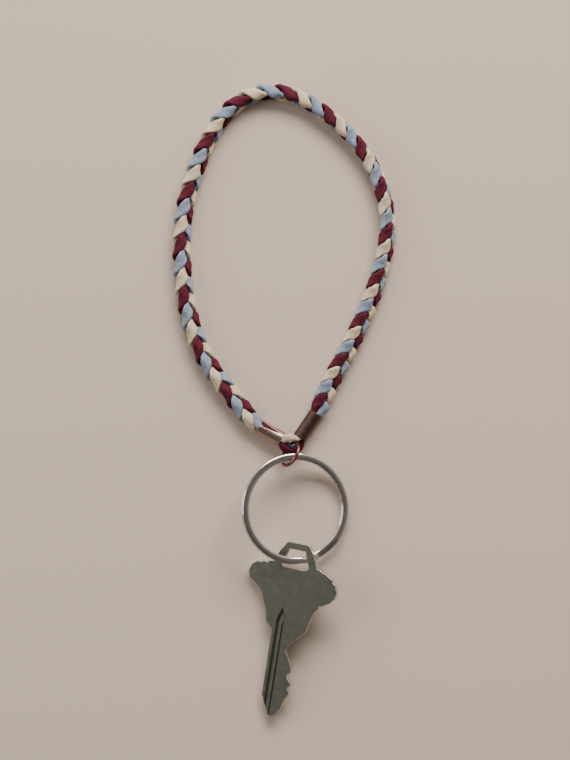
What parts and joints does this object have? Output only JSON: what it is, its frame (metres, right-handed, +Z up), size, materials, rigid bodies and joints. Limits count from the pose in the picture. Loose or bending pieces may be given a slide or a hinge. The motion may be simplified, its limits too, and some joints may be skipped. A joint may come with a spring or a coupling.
{
  "type": "wristlet keychain",
  "caption": "Plaited lace wrist loop with crimp tubes at its ends, joined by a jump ring to a split ring that carries a house key.",
  "frame": {"origin": "on the table that the keychain lies on, under the middle of its bounding box", "axes": "+Y from the key towards the far end of the wrist loop, +Z up from the table, +X to the right of the loop seen from above with the key nearest"},
  "size_m": [0.0702, 0.2012, 0.0126],
  "materials": {
    "cream_suede": "matt suede",
    "blue_suede": "matt suede",
    "burgundy_suede": "matt suede",
    "copper_tube": "satin copper plate",
    "dark_tube": "dark copper plate",
    "copper_wire": "copper plate",
    "steel_ring": "worn nickel plate",
    "nickel_key": "worn nickel plate"
  },
  "bodies": {
    "strap": {"cream_lace": "cream_suede", "blue_lace": "blue_suede", "burgundy_lace": "burgundy_suede", "left_crimp_tube": "copper_tube", "right_crimp_tube": "dark_tube"},
    "jump_ring": {"jump_ring": "copper_wire"},
    "split_ring": {"split_ring": "steel_ring"},
    "key": {"key": "nickel_key"}
  },
  "joints": [
    {"name": "jump_ring_turn", "type": "hinge", "parent": "strap", "child": "jump_ring", "pos_m": [0.002, -0.0171, 0.0052], "axis": [-0.7613, 0.4158, 0.4975], "range_deg": [-45, 45]},
    {"name": "split_ring_swing", "type": "hinge", "parent": "jump_ring", "child": "split_ring", "pos_m": [0.00235, -0.01805, 0.00673], "axis": [-0.9534, -0.0785, 0.2915], "range_deg": [-80, 90]},
    {"name": "key_swing", "type": "hinge", "parent": "split_ring", "child": "key", "pos_m": [0.00414, -0.05074, 0.00634], "axis": [-0.9557, -0.0349, 0.2922], "range_deg": [-20, 90]}
  ]
}
